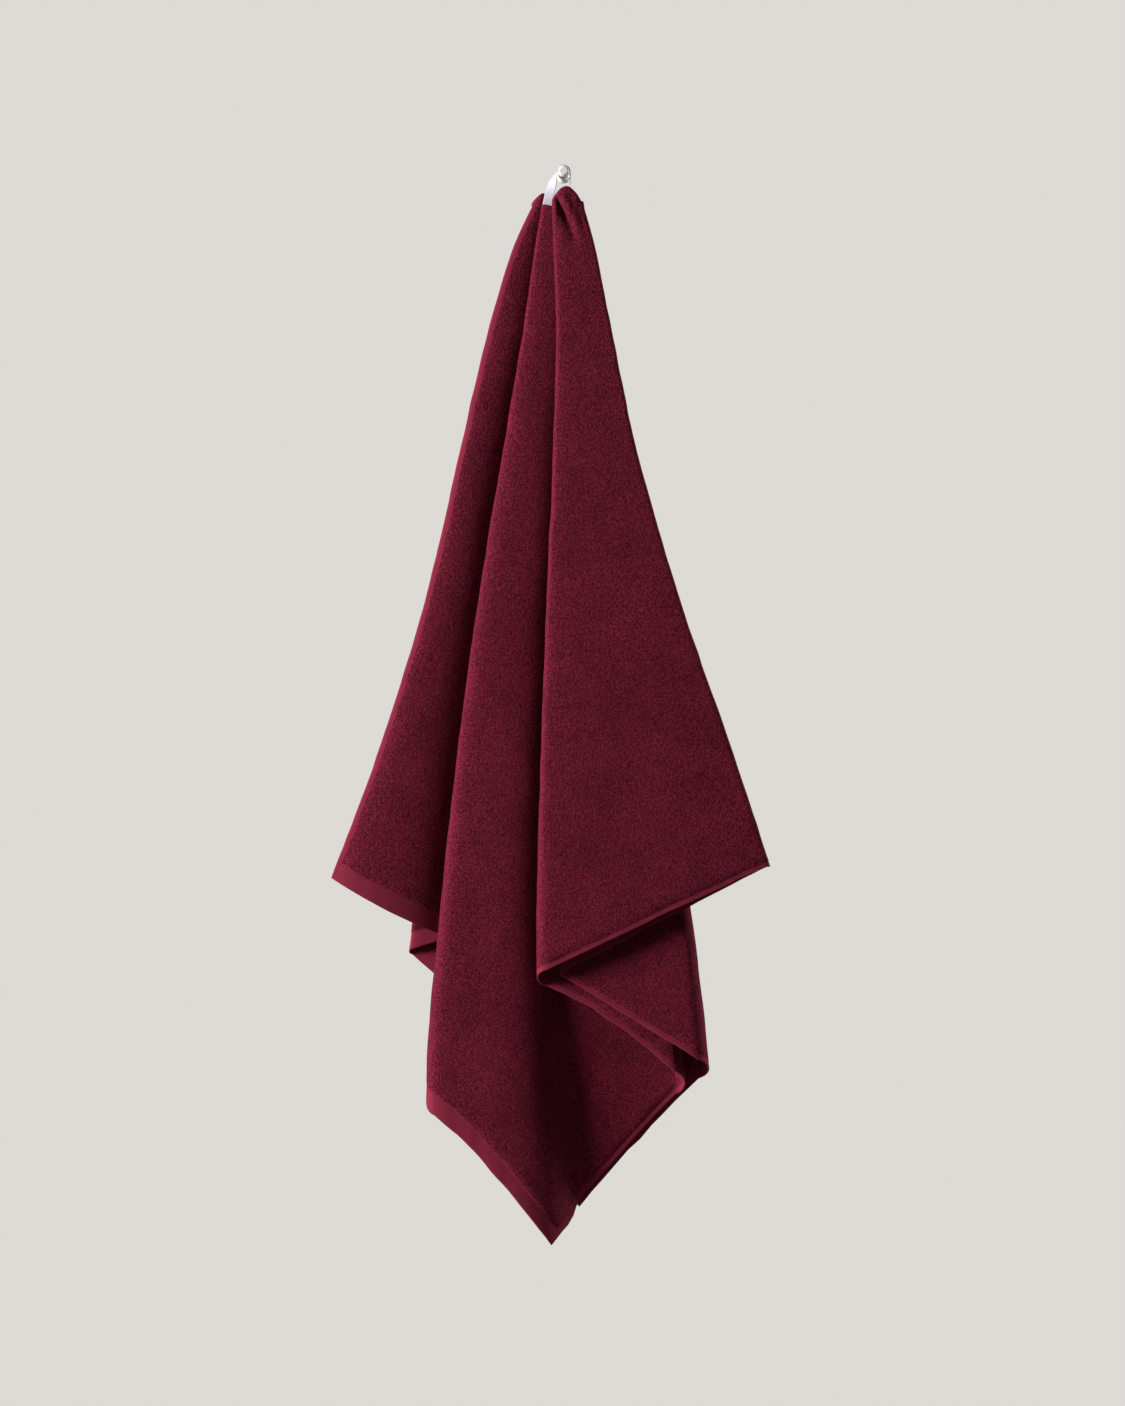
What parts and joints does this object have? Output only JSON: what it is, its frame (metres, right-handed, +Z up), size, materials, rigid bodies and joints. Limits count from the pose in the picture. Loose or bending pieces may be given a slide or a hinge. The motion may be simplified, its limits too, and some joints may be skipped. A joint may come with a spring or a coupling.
{
  "type": "bath sheet on hook",
  "caption": "Terry bath sheet hanging in deep folds by a woven tape loop at the middle of its long side, on a plain round wall peg.",
  "frame": {"origin": "middle of the peg's wall face, on the peg's axis", "axes": "+Z up, +Y into the wall along the peg's axis, +X to the right seen from the room"},
  "size_m": [0.5347, 0.0999, 1.3225],
  "materials": {
    "terry": "burgundy terry loops with flat woven hems",
    "tape": "pale woven tape",
    "peg_paint": "off-white satin paint"
  },
  "bodies": {
    "root": {"bath_sheet": "terry", "hanging_loop": "tape", "hook": "peg_paint"}
  },
  "joints": []
}
